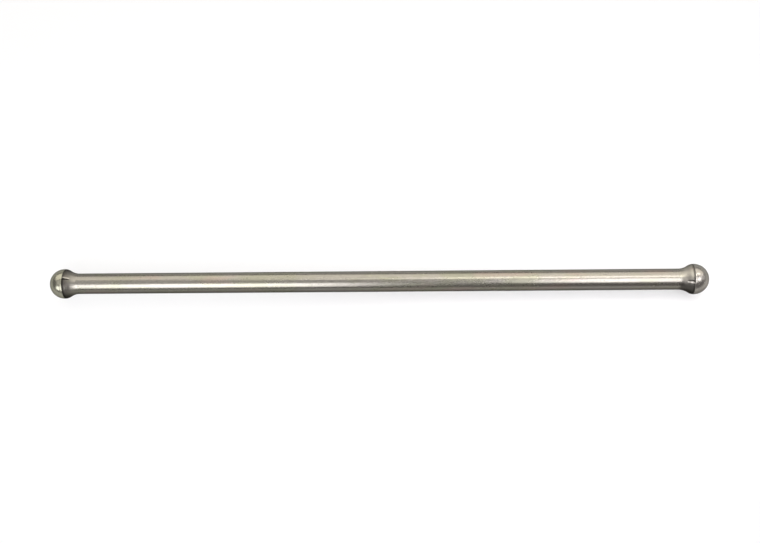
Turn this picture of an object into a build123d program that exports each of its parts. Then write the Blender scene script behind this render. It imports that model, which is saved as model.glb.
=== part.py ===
from build123d import *
import os
from math import asin, atan, cos, degrees, radians, sin, sqrt, tan

# Engine pushrod: a steel tube with both ends flared out to the full width of the ball
# inserts that are pressed into them, so that each end looks like one whole ball on a neck.
# Millimetres, +Z up. The rod lies along X, and the origin is on its axis, halfway along.
# The two ball inserts are alike and face outwards.

# Driving dimensions
overall_length = 244.0     # from the tip of one ball to the tip of the other
ball_diameter = 11.1       # working ball at each end
tube_diameter = 7.7        # outside of the straight tube
tube_wall = 1.2            # the flared ends keep the same wall
flare_length = 5.6         # from the ball's widest place back to the straight tube
full_share = 0.4           # part of that length where the flare is full, like the ball
seam_setback = 0.4         # how far the joint line lies behind the ball's widest place
lip_chamfer = 0.14         # outer corner of the flared lip
shoulder_chamfer = 0.1     # corner of the ball's shoulder, facing the lip
shank_length = 9.0         # straight part of the insert, in the bore behind the flare
shank_chamfer = 0.8        # lead-in at the shank's end
press_clearance = 0.02     # between insert and tube all round; the real fit is a press
notch_length = 2.4         # how far the weld of the tube has opened, back from the lip
notch_mouth = 0.7          # width of that notch just outside the lip
notch_root = 0.18          # width of that notch at its round inner end
notch_rounding = 0.12      # outer edges of the notch
left_notch_angle = 6.0     # degrees from straight up towards +Y
right_notch_angle = -21.0

# Sizes worked out from them
ball_radius = ball_diameter / 2
tube_radius = tube_diameter / 2
bore_radius = tube_radius - tube_wall
ball_centre = overall_length / 2 - ball_radius
lip_x = ball_centre - seam_setback
steepest = 2 * atan((ball_radius - tube_radius) / flare_length)
full_radius = full_share * flare_length / sin(steepest)
hollow_radius = (1 - full_share) * flare_length / sin(steepest)


def flare_curve(depth):
    """The right-hand flare's outline, depth below the tube's outside, out to the lip.

    It is hollow where it leaves the straight tube, then full, and would be level again at
    the ball's widest place. Gives the two arcs.
    """
    start = (ball_centre - flare_length, tube_radius - depth)
    hollow = JernArc(start, (1, 0), hollow_radius + depth, degrees(steepest))
    full_turn = steepest - asin(seam_setback / (full_radius - depth))
    full = JernArc(hollow @ 1, hollow % 1, full_radius - depth, -degrees(full_turn))
    return hollow, full


def trumpet_section(depth):
    """Half section of a bar with a flare at both ends, depth below the tube's outside."""
    hollow, full = flare_curve(depth)
    straight, lip = hollow @ 0, full @ 1
    right = [hollow, full, Line(lip, (lip.X, 0))]
    left = [mirror(line, Plane.YZ) for line in right]
    middle = [Line((-straight.X, straight.Y), straight), Line((-lip.X, 0), (lip.X, 0))]
    return make_face(right + left + middle)


def turned(section):
    """The solid that a half section above the axis gives when it is turned about it."""
    return revolve(Plane.XZ * section, Axis.X)


def open_seam(body):
    """Cuts the notch into the top of the right-hand flare and rounds its outer edges."""
    root = Pos(lip_x - notch_length + notch_root / 2, 0) * Circle(notch_root / 2)
    mouth = Pos(lip_x + notch_mouth, 0) * Circle(notch_mouth / 2)
    plan = make_hull(root.edges() + mouth.edges())
    notched = body - extrude(Pos(0, 0, bore_radius / 2) * plan, amount=ball_radius)
    wall_middle = tube_radius - tube_wall / 2
    outer_edges = [
        edge for edge in notched.edges()
        if edge.center().X > 0
        and all((edge @ place).Z > wall_middle for place in (0, 0.5, 1))
    ]
    return fillet(outer_edges, notch_rounding)


def make_tube():
    """The hollow tube: its right notch is cut, then its left one, each at the top."""
    section = trumpet_section(0)
    lip_corners = section.vertices().group_by(Axis.Y)[-1]
    body = Rot(180, 0, 0) * turned(chamfer(lip_corners, lip_chamfer))
    body = open_seam(body)
    body = Rot(left_notch_angle - right_notch_angle, 0, 0) * body
    body = mirror(open_seam(mirror(body, Plane.YZ)), Plane.YZ)
    body = Rot(-left_notch_angle, 0, 0) * body
    return body - turned(trumpet_section(tube_wall))


def make_ball_end():
    """The right-hand insert: ball, flat shoulder, cone that backs the flare, and shank."""
    hollow, full = flare_curve(tube_wall + press_clearance)
    neck, waist = full @ 1, hollow @ 1
    shank = (hollow @ 0).Y
    shank_start = waist.X - (waist.Y - shank) / tan(steepest)
    shank_end = shank_start - shank_length
    tip = (overall_length / 2, 0)
    crown = (ball_centre + ball_radius * cos(radians(45)), ball_radius * sin(radians(45)))
    shoulder = (lip_x, sqrt(ball_radius**2 - seam_setback**2))
    ball = ThreePointArc(tip, crown, shoulder)
    behind = Polyline(
        shoulder,
        (lip_x, neck.Y),
        (waist.X, waist.Y),
        (shank_start, shank),
        (shank_end + shank_chamfer, shank),
        (shank_end, shank - shank_chamfer),
        (shank_end, 0),
        tip,
    )
    section = make_face(ball + behind)
    shoulder_corner = section.vertices().sort_by(Axis.Y)[-1]
    return turned(chamfer(shoulder_corner, shoulder_chamfer))


ball_end = make_ball_end()
nodes = {
    "tube": make_tube(),
    "ball_end_left": mirror(ball_end, Plane.YZ),
    "ball_end_right": ball_end,
}
os.makedirs("parts", exist_ok=True)
for name, solid in nodes.items():
    solid.label = name
    export_step(solid, f"parts/{name}.step")
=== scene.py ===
"""Looks of the engine pushrod: drawn steel tube, two polished ball ends, floor, lamps, camera.

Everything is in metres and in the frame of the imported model: the rod lies along X with its
middle at the origin, and +Z is up. Angles round the rod are counted from straight up
towards +Y.
"""
from math import asin, atan, cos, pi, radians, sin, sqrt, tan

import bmesh
import bpy
from mathutils import Matrix, Vector


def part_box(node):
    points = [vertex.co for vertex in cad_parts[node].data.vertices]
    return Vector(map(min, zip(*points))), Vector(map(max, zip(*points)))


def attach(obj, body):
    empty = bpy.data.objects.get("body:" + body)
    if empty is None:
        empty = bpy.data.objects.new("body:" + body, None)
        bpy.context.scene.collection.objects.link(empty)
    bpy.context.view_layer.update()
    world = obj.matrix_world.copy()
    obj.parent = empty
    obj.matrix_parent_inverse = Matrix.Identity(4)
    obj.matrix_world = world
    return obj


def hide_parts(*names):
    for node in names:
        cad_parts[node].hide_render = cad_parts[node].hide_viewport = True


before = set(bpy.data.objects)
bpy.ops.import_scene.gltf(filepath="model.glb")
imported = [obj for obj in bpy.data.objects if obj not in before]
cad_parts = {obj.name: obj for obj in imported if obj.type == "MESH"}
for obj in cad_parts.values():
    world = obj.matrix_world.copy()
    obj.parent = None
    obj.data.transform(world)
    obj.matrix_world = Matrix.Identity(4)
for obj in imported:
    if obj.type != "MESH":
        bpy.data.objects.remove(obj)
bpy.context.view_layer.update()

bl_info = {
    "name": "Engine pushrod",
    "version": (1, 0, 0),
    "blender": (4, 5, 0),
    "location": "3D View > Sidebar > Pushrod",
    "description": "Makes a tubular pushrod with flared ends and polished ball inserts",
    "category": "Add Mesh",
}

MM = 0.001
BALL_LOW, BALL_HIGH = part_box("ball_end_right")
HALF_LENGTH = BALL_HIGH.x
BALL_RADIUS = BALL_HIGH.z
BALL_CENTRE = HALF_LENGTH - BALL_RADIUS
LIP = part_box("tube")[1].x
SHANK_END = BALL_LOW.x


def length(name, description, default):
    return bpy.props.FloatProperty(
        name=name, description=description, default=default, min=0.0, precision=5,
        subtype="DISTANCE", unit="LENGTH",
    )


def angle(name, description, degrees):
    return bpy.props.FloatProperty(
        name=name, description=description, default=radians(degrees),
        subtype="ANGLE", unit="ROTATION",
    )


def share(name, description, default):
    return bpy.props.FloatProperty(
        name=name, description=description, default=default, min=0.0, max=1.0, subtype="FACTOR",
    )


def colour(name, description, default):
    return bpy.props.FloatVectorProperty(
        name=name, description=description, default=default, size=3, min=0.0, max=1.0,
        subtype="COLOR",
    )


class PushrodSizes(bpy.types.PropertyGroup):
    """Sizes of the tube and the ball inserts."""
    tube_radius: length("Tube radius", "Outside radius of the straight tube", 3.85 * MM)
    wall: length("Wall", "Wall of the tube", 1.2 * MM)
    flare_length: length("Flare length", "From the ball's widest place to the straight tube", 5.6 * MM)
    full_share: share("Full share", "Part of the flare that is full like the ball", 0.4)
    lip_rounding: length("Lip rounding", "Outer corner of the flared lip", 0.14 * MM)
    shoulder_chamfer: length("Shoulder chamfer", "Corner of the ball that faces the lip", 0.1 * MM)
    notch_length: length("Notch length", "How far the weld has opened, back from the lip", 2.4 * MM)
    notch_mouth: length("Notch mouth", "Width of the notch just outside the lip", 0.7 * MM)
    notch_root: length("Notch root", "Width of the notch at its inner end", 0.18 * MM)
    notch_rounding: length("Notch rounding", "Rounded outer edge of the notch", 0.12 * MM)
    left_notch: angle("Left notch", "Angle of the left notch, from straight up towards +Y", 6.0)
    right_notch: angle("Right notch", "Angle of the right notch, from straight up towards +Y", -21.0)
    clearance: length("Clearance", "Between insert and tube", 0.02 * MM)
    shank_chamfer: length("Shank chamfer", "Lead-in at the end of the shank", 0.8 * MM)


class PushrodFinish(bpy.types.PropertyGroup):
    """Colours and finish of the steel."""
    tube_steel: colour("Tube steel", "Drawn steel of the tube", (0.27, 0.257, 0.226))
    tube_olive: colour("Oil film", "Steel under a thin film of oil", (0.255, 0.25, 0.198))
    tube_pink: colour("Warm tint", "Faint rosy patches on the tube", (0.30, 0.25, 0.218))
    # this dark steel also serves as painted shade on the lips
    lip_steel_and_shade: colour("Lip steel", "Duller steel of the formed lips", (0.10, 0.094, 0.084))
    ball_steel: colour("Left ball steel", "Polished steel of the left insert", (0.29, 0.285, 0.225))
    # painted reflection tint: the right ball is set greyer than the left one
    right_ball_reflection_tint: colour("Right ball steel", "Cooler polished steel of the right insert", (0.30, 0.284, 0.254))
    # partly steel worn bright, partly a painted highlight
    rubbed_steel_and_highlight: colour("Rubbed steel", "Bright edge beside each notch", (0.75, 0.72, 0.64))
    grime: colour("Grime", "Dirt in the joint line and the notches", (0.018, 0.0165, 0.014))
    tube_roughness: share("Tube roughness", "How matt the drawn steel is", 0.27)
    ball_roughness: share("Ball roughness", "How matt the polished steel is", 0.26)


class PushrodStage(bpy.types.PropertyGroup):
    """Floor, light and camera."""
    floor: colour("Floor", "Colour of the floor", (0.8, 0.8, 0.8))
    floor_lift: share("Floor lift", "How much of the floor's brightness is its own", 0.8)
    # depth of a painted shadow on the floor, set in the floor's material
    shadow_depth: share("Shadow depth", "How much of that lift the shadow in front of the rod loses", 0.4)
    surround: colour("Surround", "Dark surround that the steel mirrors", (0.33, 0.315, 0.32))
    camera_distance: length("Camera distance", "From the rod to the camera", 0.42675)
    camera_lean: angle("Camera lean", "Camera's lean from straight above towards the viewer", 14.5)
    camera_turn: angle("Camera turn", "Camera's turn towards the right-hand end", 3.0984)
    camera_roll: angle("Camera roll", "Roll of the picture", 0.3271)


class Signal:
    """An output socket that can stand in a sum like a number."""

    def __init__(self, maker, socket):
        self.maker = maker
        self.socket = socket

    def math(self, operation, *values):
        inputs = dict(enumerate(values))
        return self.maker.add("ShaderNodeMath", {"operation": operation}, inputs)

    def __add__(self, other):
        return self.math("ADD", self, other)

    def __radd__(self, other):
        return self.math("ADD", other, self)

    def __sub__(self, other):
        return self.math("SUBTRACT", self, other)

    def __rsub__(self, other):
        return self.math("SUBTRACT", other, self)

    def __mul__(self, other):
        return self.math("MULTIPLY", self, other)

    def __rmul__(self, other):
        return self.math("MULTIPLY", other, self)

    def __truediv__(self, other):
        return self.math("DIVIDE", self, other)

    def __rtruediv__(self, other):
        return self.math("DIVIDE", other, self)

    def __neg__(self):
        return self.math("MULTIPLY", self, -1.0)

    def __lt__(self, other):
        return self.math("LESS_THAN", self, other)

    def __gt__(self, other):
        return self.math("GREATER_THAN", self, other)

    def __abs__(self):
        return self.math("ABSOLUTE", self)

    def at_least(self, other):
        return self.math("MAXIMUM", self, other)

    def at_most(self, other):
        return self.math("MINIMUM", self, other)

    def floor(self):
        return self.math("FLOOR", self)

    def root(self):
        return self.math("SQRT", self.at_least(0.0))

    def power(self, exponent):
        return self.math("POWER", self, exponent)

    def sine(self):
        return self.math("SINE", self)

    def cosine(self):
        return self.math("COSINE", self)

    def arcsine(self):
        return self.math("ARCSINE", self)

    def step(self, low, high):
        """Rises smoothly from 0 at low to 1 at high; low may be the larger."""
        settings = {"interpolation_type": "SMOOTHSTEP"}
        inputs = {"Value": self, "From Min": low, "From Max": high}
        return self.maker.add("ShaderNodeMapRange", settings, inputs)

    def choose(self, if_one, if_zero):
        """if_one where this is 1, if_zero where it is 0."""
        return if_zero + self * (if_one - if_zero)


class NodeMaker:
    """Adds nodes to one tree."""

    def __init__(self, tree):
        self.tree = tree

    def add(self, kind, settings=None, inputs=None, output=0):
        """Makes a node, sets it up, feeds its sockets and gives one of its outputs."""
        node = self.tree.nodes.new(kind)
        for name, value in (settings or {}).items():
            setattr(node, name, value)
        for key, value in (inputs or {}).items():
            self.feed(node, key, value)
        return Signal(self, node.outputs[output])

    def feed(self, node, key, value):
        if isinstance(value, Signal):
            self.tree.links.new(value.socket, node.inputs[key])
        else:
            node.inputs[key].default_value = value

    def point(self, x, y, z):
        return self.add("ShaderNodeCombineXYZ", inputs={"X": x, "Y": y, "Z": z})

    def blend(self, factor, first, second):
        """Mixes two colours."""
        settings = {"data_type": "RGBA", "clamp_factor": True}
        return self.add("ShaderNodeMix", settings, {0: factor, 6: first, 7: second}, 2)

    def tint(self, factor, first, second):
        """Multiplies one colour by another, as far as the factor says."""
        settings = {"data_type": "RGBA", "blend_type": "MULTIPLY"}
        return self.add("ShaderNodeMix", settings, {0: factor, 6: first, 7: second}, 2)

    def noise(self, place, scale, detail=3.0, roughness=0.55):
        inputs = {"Vector": place, "Scale": scale, "Detail": detail, "Roughness": roughness}
        return self.add("ShaderNodeTexNoise", inputs=inputs)


def opaque(tone):
    return (*tone, 1.0)


# The tube: one Geometry Nodes tree.

RUN = 150          # columns along the outside, and as many along the bore
CORNER = 4         # columns of the lip's rounding, at each end
STRAIGHT_SHARE = 0.3   # share of the columns on the straight part
ROWS = 161         # rows round the tube, from one edge of the notch to the other
EDGE_ROWS = 6      # of those, rows on each rounded edge of the notch
WELD = 1.5e-6      # points nearer to each other than this are one
TUBE_CREASE = radians(40)   # a sharper bend than this is shaded as an edge

TUBE_INPUTS = (
    "Lip", "Ball Centre", "Ball Radius", "Tube Radius", "Wall", "Flare Length", "Full Share",
    "Lip Rounding", "Notch Length", "Notch Mouth", "Notch Root", "Notch Rounding",
    "Left Notch", "Right Notch",
)


def tube_tree():
    """Bends a grid of points into the tube: columns along its section, rows round it."""
    tree = bpy.data.node_groups.new("flared_tube", "GeometryNodeTree")
    face = tree.interface
    face.new_socket("Geometry", in_out="INPUT", socket_type="NodeSocketGeometry")
    for name in TUBE_INPUTS:
        face.new_socket(name, in_out="INPUT", socket_type="NodeSocketFloat")
    face.new_socket("Steel", in_out="INPUT", socket_type="NodeSocketMaterial")
    face.new_socket("Geometry", in_out="OUTPUT", socket_type="NodeSocketGeometry")
    make = NodeMaker(tree)
    given = tree.nodes.new("NodeGroupInput")
    size = {name: Signal(make, given.outputs[name]) for name in TUBE_INPUTS}
    lip, ball_centre, ball_radius = size["Lip"], size["Ball Centre"], size["Ball Radius"]
    wall, rounding = size["Wall"], size["Lip Rounding"]

    # one more column closes the section, and one more row on each side closes the notch
    columns, rows = 2 * RUN + 1, ROWS + 2
    counts = {"Vertices X": columns, "Vertices Y": rows}
    grid = make.add("GeometryNodeMeshGrid", inputs=counts, output="Mesh")
    index = make.add("GeometryNodeInputIndex")
    column = ((index + 0.5) / rows).floor()
    row = index - column * rows - 1
    column = column * (column < 2 * RUN - 0.5)
    bore = column > RUN - 0.5
    along = bore.choose(2 * RUN - 1 - column, column)

    # place along the rod
    from_left = (CORNER - 1 - along).at_least(0.0) / (CORNER - 1)
    from_right = (along - (RUN - CORNER)).at_least(0.0) / (CORNER - 1)
    turn = (from_left + from_right) * (pi / 2)
    part = ((along - (CORNER - 1)) / (RUN + 1 - 2 * CORNER)).at_least(0.0).at_most(1.0) * 2 - 1
    side = (part > 0.0) * 2 - 1
    part = abs(part)
    flare_start = ball_centre - size["Flare Length"]
    on_straight = part.at_most(STRAIGHT_SHARE) / STRAIGHT_SHARE
    on_flare = (part - STRAIGHT_SHARE).at_least(0.0) / (1 - STRAIGHT_SHARE)
    inner_x = on_straight * flare_start + on_flare * (lip - rounding - flare_start)
    far_x = inner_x + rounding * turn.sine()

    # radius there: straight, then a hollow arc, then a full one
    rise, reach = ball_radius - size["Tube Radius"], size["Flare Length"]
    sine = 2 * rise * reach / (rise * rise + reach * reach)
    full = size["Full Share"] * reach / sine
    hollow = (1 - size["Full Share"]) * reach / sine

    def radius_at(x, depth):
        run_in = (x - flare_start).at_least(0.0)
        to_ball = ball_centre - x
        low_arc = hollow + depth
        low = size["Tube Radius"] - depth + low_arc - (low_arc * low_arc - run_in * run_in).root()
        high_arc = full - depth
        high = ball_radius - full + (high_arc * high_arc - to_ball * to_ball).root()
        return (run_in < low_arc * sine).choose(low, high)

    radius = radius_at(bore.choose(far_x, inner_x), bore * wall)
    radius = radius - (1 - bore) * rounding * (1 - turn.cosine())
    middle_radius = radius_at(far_x, wall) + wall / 2

    # half width of the notch there
    mouth, root = size["Notch Mouth"] / 2, size["Notch Root"] / 2
    from_root = far_x - (lip - size["Notch Length"] + root)
    slope = (mouth - root) / (size["Notch Length"] - root + size["Notch Mouth"])
    upright = (1 - slope * slope).root()
    round_part = (root * root - from_root * from_root).root()
    tapered = (root + from_root * slope) / upright
    half_width = (from_root < -root * slope).choose(round_part, tapered)
    half_width = half_width * (from_root > -root)
    is_open = half_width > 1e-7

    # angle round the rod, counted from the middle of the notch
    last = ROWS - 1
    from_edge = row.at_most(last - row).at_least(0.0)
    fine = (from_edge / EDGE_ROWS).at_most(1.0)
    coarse = (from_edge - EDGE_ROWS).at_least(0.0) / (last / 2 - EDGE_ROWS)
    cap = (row < -0.5) + (row > last + 0.5)
    mesh_radius = cap.choose(middle_radius, radius)
    edge_angle = (half_width / mesh_radius).arcsine()
    edge_width = size["Notch Rounding"] * fine.power(1.5)
    edge_reach = size["Notch Rounding"] / radius
    round_angle = edge_angle + edge_width / radius + coarse * (pi - edge_angle - edge_reach)
    notch = (side * far_x / flare_start).step(-0.9, 0.9).choose(size["Right Notch"], size["Left Notch"])
    turned = notch + ((row < last / 2) * 2 - 1) * round_angle

    # the notch's outer edges are rounded, also round its inner end
    beyond_root = (from_root * from_root + (radius * round_angle) * (radius * round_angle)).root() - root
    to_notch = (from_root < -root * slope).choose(beyond_root, edge_width + coarse)
    inside = (size["Notch Rounding"] - to_notch.at_least(0.0)).at_least(0.0)
    squared = size["Notch Rounding"] * size["Notch Rounding"]
    drop = size["Notch Rounding"] - (squared - inside * inside).root()
    mesh_radius = mesh_radius - drop * (1 - bore) * (1 - cap)

    place = make.point(side * far_x, mesh_radius * turned.sine(), mesh_radius * turned.cosine())
    bent = make.add("GeometryNodeSetPosition", inputs={"Geometry": grid, "Position": place})

    # where the notch is closed, the faces inside the wall go
    def per_point(value):
        return make.add("GeometryNodeFieldOnDomain", {"domain": "POINT", "data_type": "FLOAT"}, {0: value})

    hidden = (per_point(cap) > 0.25) * (per_point(is_open) < 0.01)
    opened = make.add(
        "GeometryNodeDeleteGeometry", {"domain": "FACE", "mode": "ALL"},
        {"Geometry": bent, "Selection": hidden},
    )
    merged = make.add("GeometryNodeMergeByDistance", inputs={"Geometry": opened, "Distance": WELD})
    smooth = make.add("GeometryNodeSetShadeSmooth", {"domain": "FACE"}, {"Geometry": merged})
    bend = make.add("GeometryNodeInputMeshEdgeAngle", output="Unsigned Angle")
    sharp = make.add(
        "GeometryNodeSetShadeSmooth", {"domain": "EDGE"},
        {"Geometry": smooth, "Selection": bend > TUBE_CREASE, "Shade Smooth": False},
    )
    real = make.add("GeometryNodeRealizeInstances", inputs={"Geometry": sharp})
    steel = Signal(make, given.outputs["Steel"])
    painted = make.add("GeometryNodeSetMaterial", inputs={"Geometry": real, "Material": steel})
    leave = tree.nodes.new("NodeGroupOutput")
    tree.links.new(painted.socket, leave.inputs["Geometry"])
    return tree


def new_object(name, mesh):
    """A mesh object at the origin, in the scene."""
    made = bpy.data.objects.new(name, mesh)
    bpy.context.scene.collection.objects.link(made)
    return made


def check_closed(mesh, name):
    """Turns the faces outwards, and stops the script if the mesh has a hole."""
    shell = bmesh.new()
    shell.from_mesh(mesh)
    bmesh.ops.recalc_face_normals(shell, faces=shell.faces)
    if shell.calc_volume(signed=True) < 0:
        bmesh.ops.reverse_faces(shell, faces=shell.faces)
    loose = sum(1 for edge in shell.edges if not edge.is_manifold)
    shell.to_mesh(mesh)
    shell.free()
    if loose:
        raise RuntimeError(f"{name} has {loose} edges that don't join two faces")


# The steel.


def millimetres(make):
    """Object coordinates in millimetres: the point, and its X, Y and Z."""
    place = make.add("ShaderNodeTexCoord", output="Object")
    scaled = make.add("ShaderNodeVectorMath", {"operation": "SCALE"}, {0: place, "Scale": 1000.0})
    parts = make.add("ShaderNodeSeparateXYZ", inputs={0: scaled})
    node = parts.socket.node
    return scaled, *(Signal(make, node.outputs[axis]) for axis in "XYZ")


def stretched(make, place, along, across):
    """The point with its X scaled by along, and its Y and Z by across."""
    inputs = {"Vector": place, "Scale": (along, across, across)}
    return make.add("ShaderNodeMapping", {"vector_type": "POINT"}, inputs)


def new_material(name):
    steel = bpy.data.materials.new(name)
    steel.use_nodes = True
    steel.node_tree.nodes.clear()
    return steel, NodeMaker(steel.node_tree)


def flank(make, y, z):
    """0 on the top and the underside of the rod, rising to 1 at its sides, which get painted shade."""
    level = z / (y * y + z * z).root().at_least(0.2)
    return level.step(0.88, 0.2) * level.step(-0.9, -0.35)


DRAWN_RELIEF = 0.003 * MM     # depth of the drawing lines and pits
POLISHED_RELIEF = 0.01 * MM   # depth of the ball's scratches


def finish_steel(make, base, roughness, height, depth):
    """Joins a metal's colour, roughness and relief into its shader."""
    relief = make.add("ShaderNodeBump", inputs={"Strength": 1.0, "Distance": depth, "Height": height})
    surface = make.add(
        "ShaderNodeBsdfPrincipled",
        inputs={
            "Base Color": base, "Metallic": 1.0, "Roughness": roughness, "Normal": relief,
            "Specular Tint": (0.4, 0.4, 0.4, 1.0),
        },
    )
    leave = make.tree.nodes.new("ShaderNodeOutputMaterial")
    make.tree.links.new(surface.socket, leave.inputs["Surface"])


def notch_masks(x, y, z, sizes):
    """Masks round the notches: the dirty slit, the lip along one side of it, worn bright and given a
    painted highlight, and that side.
    """
    right = x > 0.0
    turn = right.choose(sizes.right_notch, sizes.left_notch)
    across = (y * turn.cosine() - z * turn.sine()) * right.choose(-1.0, 1.0)
    behind = abs(x) - (LIP - sizes.notch_length) / MM
    from_slit = abs(across) - (behind.at_least(0.0) * 0.09 + 0.09)
    near = behind.step(-0.3, 0.1) * (z > 0.0)
    slit = (1 - from_slit.step(-0.02, 0.07)) * near
    lip = from_slit.step(0.03, 0.14) * from_slit.step(0.85, 0.4) * (across > 0.0) * near
    return slit, lip, across.step(-0.4, 0.4)


def drawn_steel(finish, sizes):
    """Drawn tube: lines along its length, a mottled skin, oil film, dark formed lips that are partly
    painted shade, painted shade and painted highlights.
    """
    steel, make = new_material("drawn_steel")
    place, x, y, z = millimetres(make)
    far = abs(x)
    lines = make.noise(stretched(make, place, 0.035, 2.6), 1.0, 3.0, 0.6)
    mottle = make.noise(stretched(make, place, 0.4, 1.9), 1.0, 2.0, 0.5)
    fine = make.noise(stretched(make, place, 2.0, 4.4), 1.0, 1.0, 0.5)
    patches = make.noise(stretched(make, place, 0.06, 0.16), 1.0, 3.0, 0.6)
    warm = make.noise(stretched(make, place, 0.045, 0.2), 1.0, 2.0, 0.5)
    specks = make.noise(stretched(make, place, 1.5, 2.0), 1.0, 0.0, 0.5).step(0.76, 0.84)

    # colour of the skin: steel, oil film and rosy patches, one of them near the right-hand end
    base = make.blend(patches.step(0.42, 0.62), opaque(finish.tube_steel), opaque(finish.tube_olive))
    base = make.blend(warm.step(0.56, 0.72) * 0.7, base, opaque(finish.tube_pink))
    rosy = (x - 103.0) / 6.0
    rosy = (1 - (rosy * rosy)).at_least(0.0) * y.step(0.6, 2.2)
    base = make.blend(rosy * 0.6, base, opaque(finish.tube_pink))

    # the formed lips are darker: the left one all round, partly duller steel and partly painted shade; the
    # right one on its lower side, which is painted shade
    formed = far.step(112.2, 114.6)
    right = x > 0.0
    dull_and_shade_left = far.step(112.7, 114.8) * 0.6 + far.step(114.4, 115.4) * 0.35
    dull_lip_and_shade = right.choose(y.step(-1.0, -3.0) * far.step(110.2, 111.8) * 0.95, dull_and_shade_left)
    base = make.blend(dull_lip_and_shade, base, opaque(finish.lip_steel_and_shade))

    # light and dark along the skin, whose grain handling has smoothed towards the ends; painted shade and a
    # painted highlight are multiplied in below
    # mask for the painted shade on the sides of the tube
    flank_shade = flank(make, y, z)
    smoothed = far.step(45.0, 95.0)
    shade = 0.88 + lines * 0.24 + (mottle - 0.5) * (0.26 - smoothed * 0.18)
    # painted shade: the sides are darker, the lips most, and the -Y side a little
    shade = shade * (1 - flank_shade * (0.5 + formed * 0.2)) * (1 - y.step(-1.2, -2.6) * 0.1)
    # painted shade: the upper side of the left end is darker
    shade = shade * (1 - x.step(-60.0, -105.0) * y.step(0.3, 1.5) * 0.14)
    # painted highlight: the upper part of the right lip is lighter
    shade = shade * (1 + x.step(111.5, 113.5) * y.step(-0.8, 0.6) * 0.16)
    tone = make.point(shade, shade, shade)
    base = make.tint(1.0, base, tone)
    base = make.blend(specks * 0.35, base, opaque(finish.grime))

    # dirt in the joint line and the notch, and the edge beside the notch, worn bright and given a painted
    # highlight
    groove = far.step(LIP / MM - 0.85, LIP / MM - 0.2)
    slit, rubbed_and_highlight, clean = notch_masks(x, y, z, sizes)
    dirt = clean.choose(0.3, right.choose(0.6, 0.85))
    base = make.blend(rubbed_and_highlight * right.choose(0.65, 0.25), base, opaque(finish.rubbed_steel_and_highlight))
    base = make.blend((groove * dirt).at_least(slit * right.choose(0.0, 0.5)), base, opaque(finish.grime))

    roughness = finish.tube_roughness - 0.033 + mottle * 0.015 + patches * 0.05 + groove * 0.2
    roughness = roughness + far.step(110.8, 113.4) * 0.16 - rubbed_and_highlight * 0.12
    height = mottle * 0.4 + lines * 0.45 + fine * 0.15 - specks * 0.3
    finish_steel(make, base, roughness, height * (1 - smoothed * 0.55), DRAWN_RELIEF)
    return steel


def polished_steel(finish, sizes):
    """Ground and polished ball: faint wear blotches, fine scratches, dirt at the joint, painted shade on
    its sides, and a painted reflection tint on the right ball.
    """
    steel, make = new_material("polished_steel")
    place, x, y, z = millimetres(make)
    far = abs(x)
    blotches = make.noise(stretched(make, place, 0.5, 0.5), 1.0, 3.0, 0.6)
    fine = make.noise(stretched(make, place, 2.4, 2.4), 1.0, 2.0, 0.5)
    specks = make.noise(stretched(make, place, 1.6, 1.6), 1.0, 0.0, 0.5).step(0.76, 0.84)
    right = x > 0.0
    # painted shade on the sides of the balls, strongest on the right ball's -Y side
    flank_shade = flank(make, y, z) * right.choose(y.step(2.0, -2.0) * 0.32 + 0.08, 0.08)
    shade = (0.8 + blotches * 0.3 + fine * 0.1) * (1 - flank_shade)
    # painted reflection tint: the right ball gets its own greyer steel colour
    base = make.blend(right, opaque(finish.ball_steel), opaque(finish.right_ball_reflection_tint))
    base = make.tint(1.0, base, make.point(shade, shade, shade))
    base = make.blend(specks * 0.3, base, opaque(finish.grime))
    groove = far.step(LIP / MM + 0.3, LIP / MM + 0.05)
    clean = notch_masks(x, y, z, sizes)[2]
    dirt = clean.choose(0.3, right.choose(0.6, 0.9))
    hidden = far.step(LIP / MM + 0.02, LIP / MM - 0.05)
    base = make.blend((groove * dirt).at_least(hidden * 0.2), base, opaque(finish.grime))
    roughness = finish.ball_roughness - 0.06 + blotches * 0.1 + groove * 0.3
    height = blotches * 0.5 + fine * 0.3 - specks * 0.3
    finish_steel(make, base, roughness, height, POLISHED_RELIEF)
    return steel


# One operator for the tube, one for the two balls, one for the stage.


class PUSHROD_OT_make_tube(bpy.types.Operator):
    """Make the flared, notched steel tube"""
    bl_idname = "pushrod.make_tube"
    bl_label = "Make tube"

    def execute(self, context):
        sizes = context.scene.pushrod_sizes
        values = {
            "Lip": LIP, "Ball Centre": BALL_CENTRE, "Ball Radius": BALL_RADIUS,
            "Tube Radius": sizes.tube_radius, "Wall": sizes.wall,
            "Flare Length": sizes.flare_length, "Full Share": sizes.full_share,
            "Lip Rounding": sizes.lip_rounding, "Notch Length": sizes.notch_length,
            "Notch Mouth": sizes.notch_mouth, "Notch Root": sizes.notch_root,
            "Notch Rounding": sizes.notch_rounding, "Left Notch": sizes.left_notch,
            "Right Notch": sizes.right_notch,
            "Steel": drawn_steel(context.scene.pushrod_finish, sizes),
        }
        made = new_object("drawn_tube", bpy.data.meshes.new("drawn_tube"))
        tree = tube_tree()
        modifier = made.modifiers.new("Flared tube", "NODES")
        modifier.node_group = tree
        for socket in tree.interface.items_tree:
            if socket.in_out == "INPUT" and socket.name in values:
                modifier[socket.identifier] = values[socket.name]
        depsgraph = context.evaluated_depsgraph_get()
        mesh = bpy.data.meshes.new_from_object(made.evaluated_get(depsgraph), depsgraph=depsgraph)
        made.modifiers.clear()
        made.data = mesh
        check_closed(mesh, made.name)
        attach(made, "root")
        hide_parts("tube")
        return {"FINISHED"}


BALL_STEPS = 88     # steps of the ball's outline
TURN_STEPS = 176    # steps round the insert
BALL_CREASE = radians(25)


def arc(centre, radius, start, end, steps):
    """Points of an arc in the half section, from one angle to the other, counted from +X."""
    angles = [start + (end - start) * step / steps for step in range(steps + 1)]
    return [(centre[0] + radius * cos(turn), centre[1] + radius * sin(turn)) for turn in angles]


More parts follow.
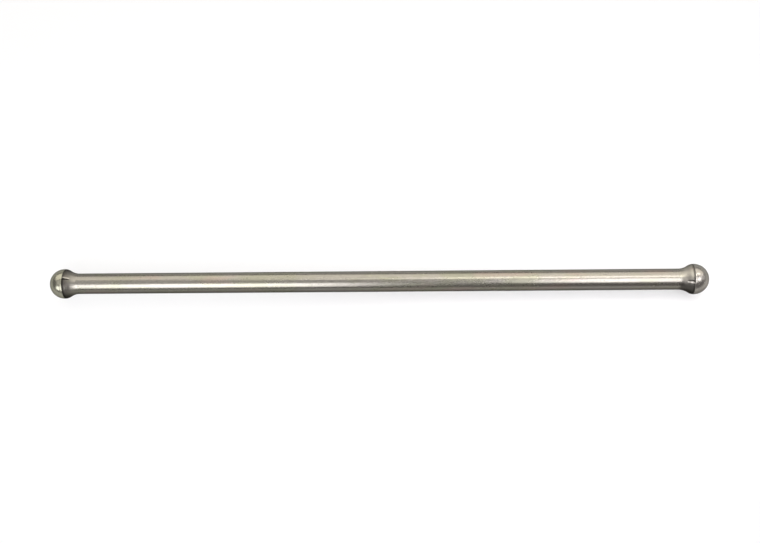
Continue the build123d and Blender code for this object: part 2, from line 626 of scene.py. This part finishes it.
def insert_outline(sizes):
    """Half section of the right-hand insert, as (X, radius), from the ball's tip to the shank's end."""
    depth = sizes.wall + sizes.clearance
    steepest = 2 * atan((BALL_RADIUS - sizes.tube_radius) / sizes.flare_length)
    full = sizes.full_share * sizes.flare_length / sin(steepest)
    hollow = (1 - sizes.full_share) * sizes.flare_length / sin(steepest)
    setback = BALL_CENTRE - LIP
    centre = BALL_RADIUS - full
    neck = centre + sqrt((full - depth) ** 2 - setback**2)
    flare_start = BALL_CENTRE - sizes.flare_length
    shank = sizes.tube_radius - depth
    waist_x = flare_start + (hollow + depth) * sin(steepest)
    waist = shank + (hollow + depth) * (1 - cos(steepest))
    shank_start = waist_x - (waist - shank) / tan(steepest)
    corner = sizes.shoulder_chamfer
    last = pi / 2 + asin((setback - corner) / BALL_RADIUS)
    outline = arc((BALL_CENTRE, 0.0), BALL_RADIUS, 0.0, last, BALL_STEPS)
    outline[0] = (HALF_LENGTH, 0.0)
    seam_radius = sqrt(BALL_RADIUS**2 - setback**2)
    outline += [
        (LIP, seam_radius - corner),
        (LIP, (seam_radius + neck) / 2),
        (LIP, neck),
        (waist_x, waist),
        (shank_start, shank),
        (SHANK_END + sizes.shank_chamfer, shank),
        (SHANK_END, shank - sizes.shank_chamfer),
        (SHANK_END, 0.0),
    ]
    return outline


def turned_mesh(name, outline, side):
    """Turns a half section round the X axis into a closed mesh; side -1 gives the left-hand one."""
    shell = bmesh.new()
    points = [shell.verts.new((side * x, 0.0, radius)) for x, radius in outline]
    edges = [shell.edges.new(pair) for pair in zip(points, points[1:])]
    bmesh.ops.spin(
        shell, geom=points + edges, cent=(0, 0, 0), axis=(1, 0, 0), angle=2 * pi,
        steps=TURN_STEPS,
    )
    bmesh.ops.remove_doubles(shell, verts=shell.verts, dist=1e-7)
    mesh = bpy.data.meshes.new(name)
    shell.to_mesh(mesh)
    shell.free()
    check_closed(mesh, name)
    mesh.polygons.foreach_set("use_smooth", [True] * len(mesh.polygons))
    mesh.set_sharp_from_angle(angle=BALL_CREASE)
    return mesh


class PUSHROD_OT_make_ball_ends(bpy.types.Operator):
    """Make the two polished ball inserts"""
    bl_idname = "pushrod.make_ball_ends"
    bl_label = "Make ball ends"

    def execute(self, context):
        outline = insert_outline(context.scene.pushrod_sizes)
        steel = polished_steel(context.scene.pushrod_finish, context.scene.pushrod_sizes)
        for end, side in (("left", -1), ("right", 1)):
            name = f"ball_insert_{end}"
            made = new_object(name, turned_mesh(name, outline, side))
            made.data.materials.append(steel)
            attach(made, "root")
            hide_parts(f"ball_end_{end}")
        return {"FINISHED"}


# each lamp: lean from straight up towards +Y, its width as seen from the rod, its distance from the
# rod, the X it covers, its swing towards +X, its beam, how bright it looks, and its colour
LAMPS = {
    "left softbox": (-46.5, 40.0, 0.35, -0.23, -0.04, 13.0, 60.0, 7.0, (0.97, 0.96, 1.0)),
    "left nose softbox": (-45.0, 18.0, 0.35, -0.04, 0.04, -22.0, 34.0, 11.0, (0.97, 0.96, 1.0)),
    "far left softbox": (-51.0, 30.0, 0.35, -0.56, -0.31, 38.0, 40.0, 6.5, (0.97, 0.97, 1.0)),
    "right softbox": (-24.0, 37.0, 0.35, 0.094, 0.195, -9.0, 50.0, 6.8, (0.97, 0.96, 1.0)),
    "far right softbox": (-16.0, 28.0, 0.35, 0.23, 0.44, -33.0, 40.0, 6.5, (0.97, 0.96, 1.0)),
    "long strip": (16.0, 10.0, 1.0, -0.22, 0.04, 0.0, 180.0, 2.6, (1.0, 0.96, 0.9)),
    "middle strip": (17.0, 10.0, 1.0, 0.04, 0.14, -1.0, 30.0, 4.8, (1.0, 0.96, 0.9)),
    "bright strip": (17.0, 12.0, 1.0, 0.14, 0.45, -6.0, 32.0, 8.0, (1.0, 0.96, 0.93)),
    "flare strip": (17.0, 14.0, 0.35, 0.0, 0.12, 15.0, 36.0, 8.5, (1.0, 0.96, 0.93)),
    "far strip": (28.0, 12.0, 0.35, 0.23, 0.37, -30.0, 40.0, 6.5, (1.0, 0.96, 0.93)),
    "far glow": (9.0, 24.0, 0.35, 0.33, 0.45, -42.0, 44.0, 2.2, (1.0, 0.96, 0.95)),
    "side panel": (12.0, 66.0, 0.35, 0.56, 1.1, -55.0, 180.0, 0.8, (0.98, 0.96, 1.0)),
    "rear panel": (48.0, 50.0, 1.0, -1.6, 1.9, 0.0, 180.0, 1.75, (1.0, 0.955, 0.88)),
    "far left panel": (-3.0, 40.0, 1.0, -1.3, -0.42, 0.0, 180.0, 0.85, (1.0, 0.97, 0.97)),
    "overhead panel": (-3.0, 40.0, 1.0, -0.42, 0.15, 0.0, 180.0, 0.5, (1.0, 0.97, 0.97)),
    "overhead glow": (1.0, 20.0, 1.0, 0.15, 0.9, -8.0, 34.0, 1.9, (1.0, 0.97, 0.97)),
}
GRID_STRIPS = 3     # strips that a lamp with a grid is cut into
FLOOR_HALF = 12.0
LENS = 54.5         # focal length in millimetres
NEAREST = 0.01      # the camera sees nothing nearer than this
AIM = Vector((0.0019593, 0.0038012, 0.0))   # where the middle of the picture meets the rod's plane


class PUSHROD_OT_set_stage(bpy.types.Operator):
    """Set up the floor, the lamps and the camera"""
    bl_idname = "pushrod.set_stage"
    bl_label = "Set stage"

    def execute(self, context):
        setup = context.scene.pushrod_stage
        self.lay_floor(setup)
        for name, facts in LAMPS.items():
            self.hang_lamp(name, *facts)
        self.tone_surround(context, setup)
        self.place_camera(context, setup)
        context.scene.view_settings.view_transform = "Standard"
        return {"FINISHED"}

    def lay_floor(self, setup):
        sheet = bmesh.new()
        bmesh.ops.create_grid(sheet, x_segments=8, y_segments=8, size=FLOOR_HALF)
        bmesh.ops.translate(sheet, verts=sheet.verts, vec=(0, 0, -BALL_RADIUS))
        mesh = bpy.data.meshes.new("paper_floor")
        sheet.to_mesh(mesh)
        sheet.free()
        floor = new_object("paper_floor", mesh)
        paper, make = new_material("white_paper")
        matt = make.add("ShaderNodeBsdfDiffuse", inputs={"Color": opaque(setup.floor)})
        glow = make.add("ShaderNodeEmission", inputs={"Color": (1.0, 1.0, 1.0, 1.0), "Strength": 1.0})
        seen = make.add("ShaderNodeLightPath", output="Is Camera Ray")
        node = seen.socket.node
        for name in ("Is Glossy Ray", "Is Transmission Ray"):
            seen = seen.at_least(Signal(make, node.outputs[name]))
        place = make.add("ShaderNodeTexCoord", output="Object")
        node = make.add("ShaderNodeSeparateXYZ", inputs={0: place}).socket.node
        x, y = (Signal(make, node.outputs[axis]) for axis in "XY")
        # painted shadow: towards the viewer and deepest in front of the right-hand half, the floor keeps
        # less of its own brightness
        painted_shadow = y.step(0.004, -0.004) * y.step(-0.09, -0.04) * x.step(-0.08, 0.05) * x.step(0.2, 0.13)
        lift = setup.floor_lift - painted_shadow * setup.shadow_depth
        surface = make.add("ShaderNodeMixShader", inputs={0: seen * lift, 1: matt, 2: glow})
        leave = paper.node_tree.nodes.new("ShaderNodeOutputMaterial")
        paper.node_tree.links.new(surface.socket, leave.inputs["Surface"])
        mesh.materials.append(paper)

    def hang_lamp(self, name, lean, width, distance, x_from, x_to, swing, beam, brightness, tone):
        """Hangs a lamp; one with a grid, which narrows its beam, is strips that all face the rod."""
        strips, grid = 1, 1.0
        if beam < 180.0:
            half = radians(beam) / 2
            strips, grid = GRID_STRIPS, (tan(half) - half) / tan(half)
        width = width / strips
        for strip in range(strips):
            turn = radians(lean + width * (strip - (strips - 1) / 2))
            light = bpy.data.lights.new(name, "AREA")
            light.shape = "RECTANGLE"
            light.size = x_to - x_from
            light.size_y = 2 * distance * tan(radians(width) / 2)
            light.spread = radians(beam)
            light.energy = brightness * pi * light.size * light.size_y * grid
            light.color = tone
            lamp = bpy.data.objects.new(name, light)
            bpy.context.scene.collection.objects.link(lamp)
            lamp.visible_camera = False
            place = ((x_from + x_to) / 2, distance * sin(turn), distance * cos(turn))
            facing = Matrix.Rotation(-turn, 4, "X") @ Matrix.Rotation(-radians(swing), 4, "Y")
            lamp.matrix_world = Matrix.Translation(place) @ facing

    def tone_surround(self, context, setup):
        world = bpy.data.worlds.new("surround")
        world.use_nodes = True
        world.node_tree.nodes["Background"].inputs["Color"].default_value = opaque(setup.surround)
        context.scene.world = world

    def place_camera(self, context, setup):
        lean, turn, roll = setup.camera_lean, setup.camera_turn, setup.camera_roll
        away = Vector((sin(turn), -sin(lean) * cos(turn), cos(lean) * cos(turn))).normalized()
        right = Vector((0, 1, 0)).cross(away).normalized()
        up = away.cross(right)
        tilted = right * cos(roll) + up * sin(roll)
        upright = up * cos(roll) - right * sin(roll)
        lens = bpy.data.cameras.new("camera")
        lens.lens = LENS
        lens.clip_start = NEAREST
        camera = bpy.data.objects.new("camera", lens)
        context.scene.collection.objects.link(camera)
        facing = Matrix((tilted, upright, away)).transposed().to_4x4()
        camera.matrix_world = Matrix.Translation(AIM + away * setup.camera_distance) @ facing
        context.scene.camera = camera


class PUSHROD_PT_panel(bpy.types.Panel):
    """Lists the pushrod's pieces and sizes"""
    bl_label = "Pushrod"
    bl_idname = "PUSHROD_PT_panel"
    bl_space_type = "VIEW_3D"
    bl_region_type = "UI"
    bl_category = "Pushrod"

    def draw(self, context):
        for maker in OPERATORS:
            self.layout.operator(maker.bl_idname)
        for name, group in GROUPS.items():
            box = self.layout.box()
            for prop in group.__annotations__:
                box.prop(getattr(context.scene, name), prop)


GROUPS = {"pushrod_sizes": PushrodSizes, "pushrod_finish": PushrodFinish, "pushrod_stage": PushrodStage}
OPERATORS = (PUSHROD_OT_make_tube, PUSHROD_OT_make_ball_ends, PUSHROD_OT_set_stage)


def register():
    for part in (*GROUPS.values(), *OPERATORS, PUSHROD_PT_panel):
        bpy.utils.register_class(part)
    for name, group in GROUPS.items():
        setattr(bpy.types.Scene, name, bpy.props.PointerProperty(type=group))


def unregister():
    for name in GROUPS:
        delattr(bpy.types.Scene, name)
    for part in (PUSHROD_PT_panel, *reversed(OPERATORS), *reversed(list(GROUPS.values()))):
        bpy.utils.unregister_class(part)


def main():
    register()
    bpy.ops.pushrod.make_tube()
    bpy.ops.pushrod.make_ball_ends()
    bpy.ops.pushrod.set_stage()


if __name__ == "__main__":
    main()
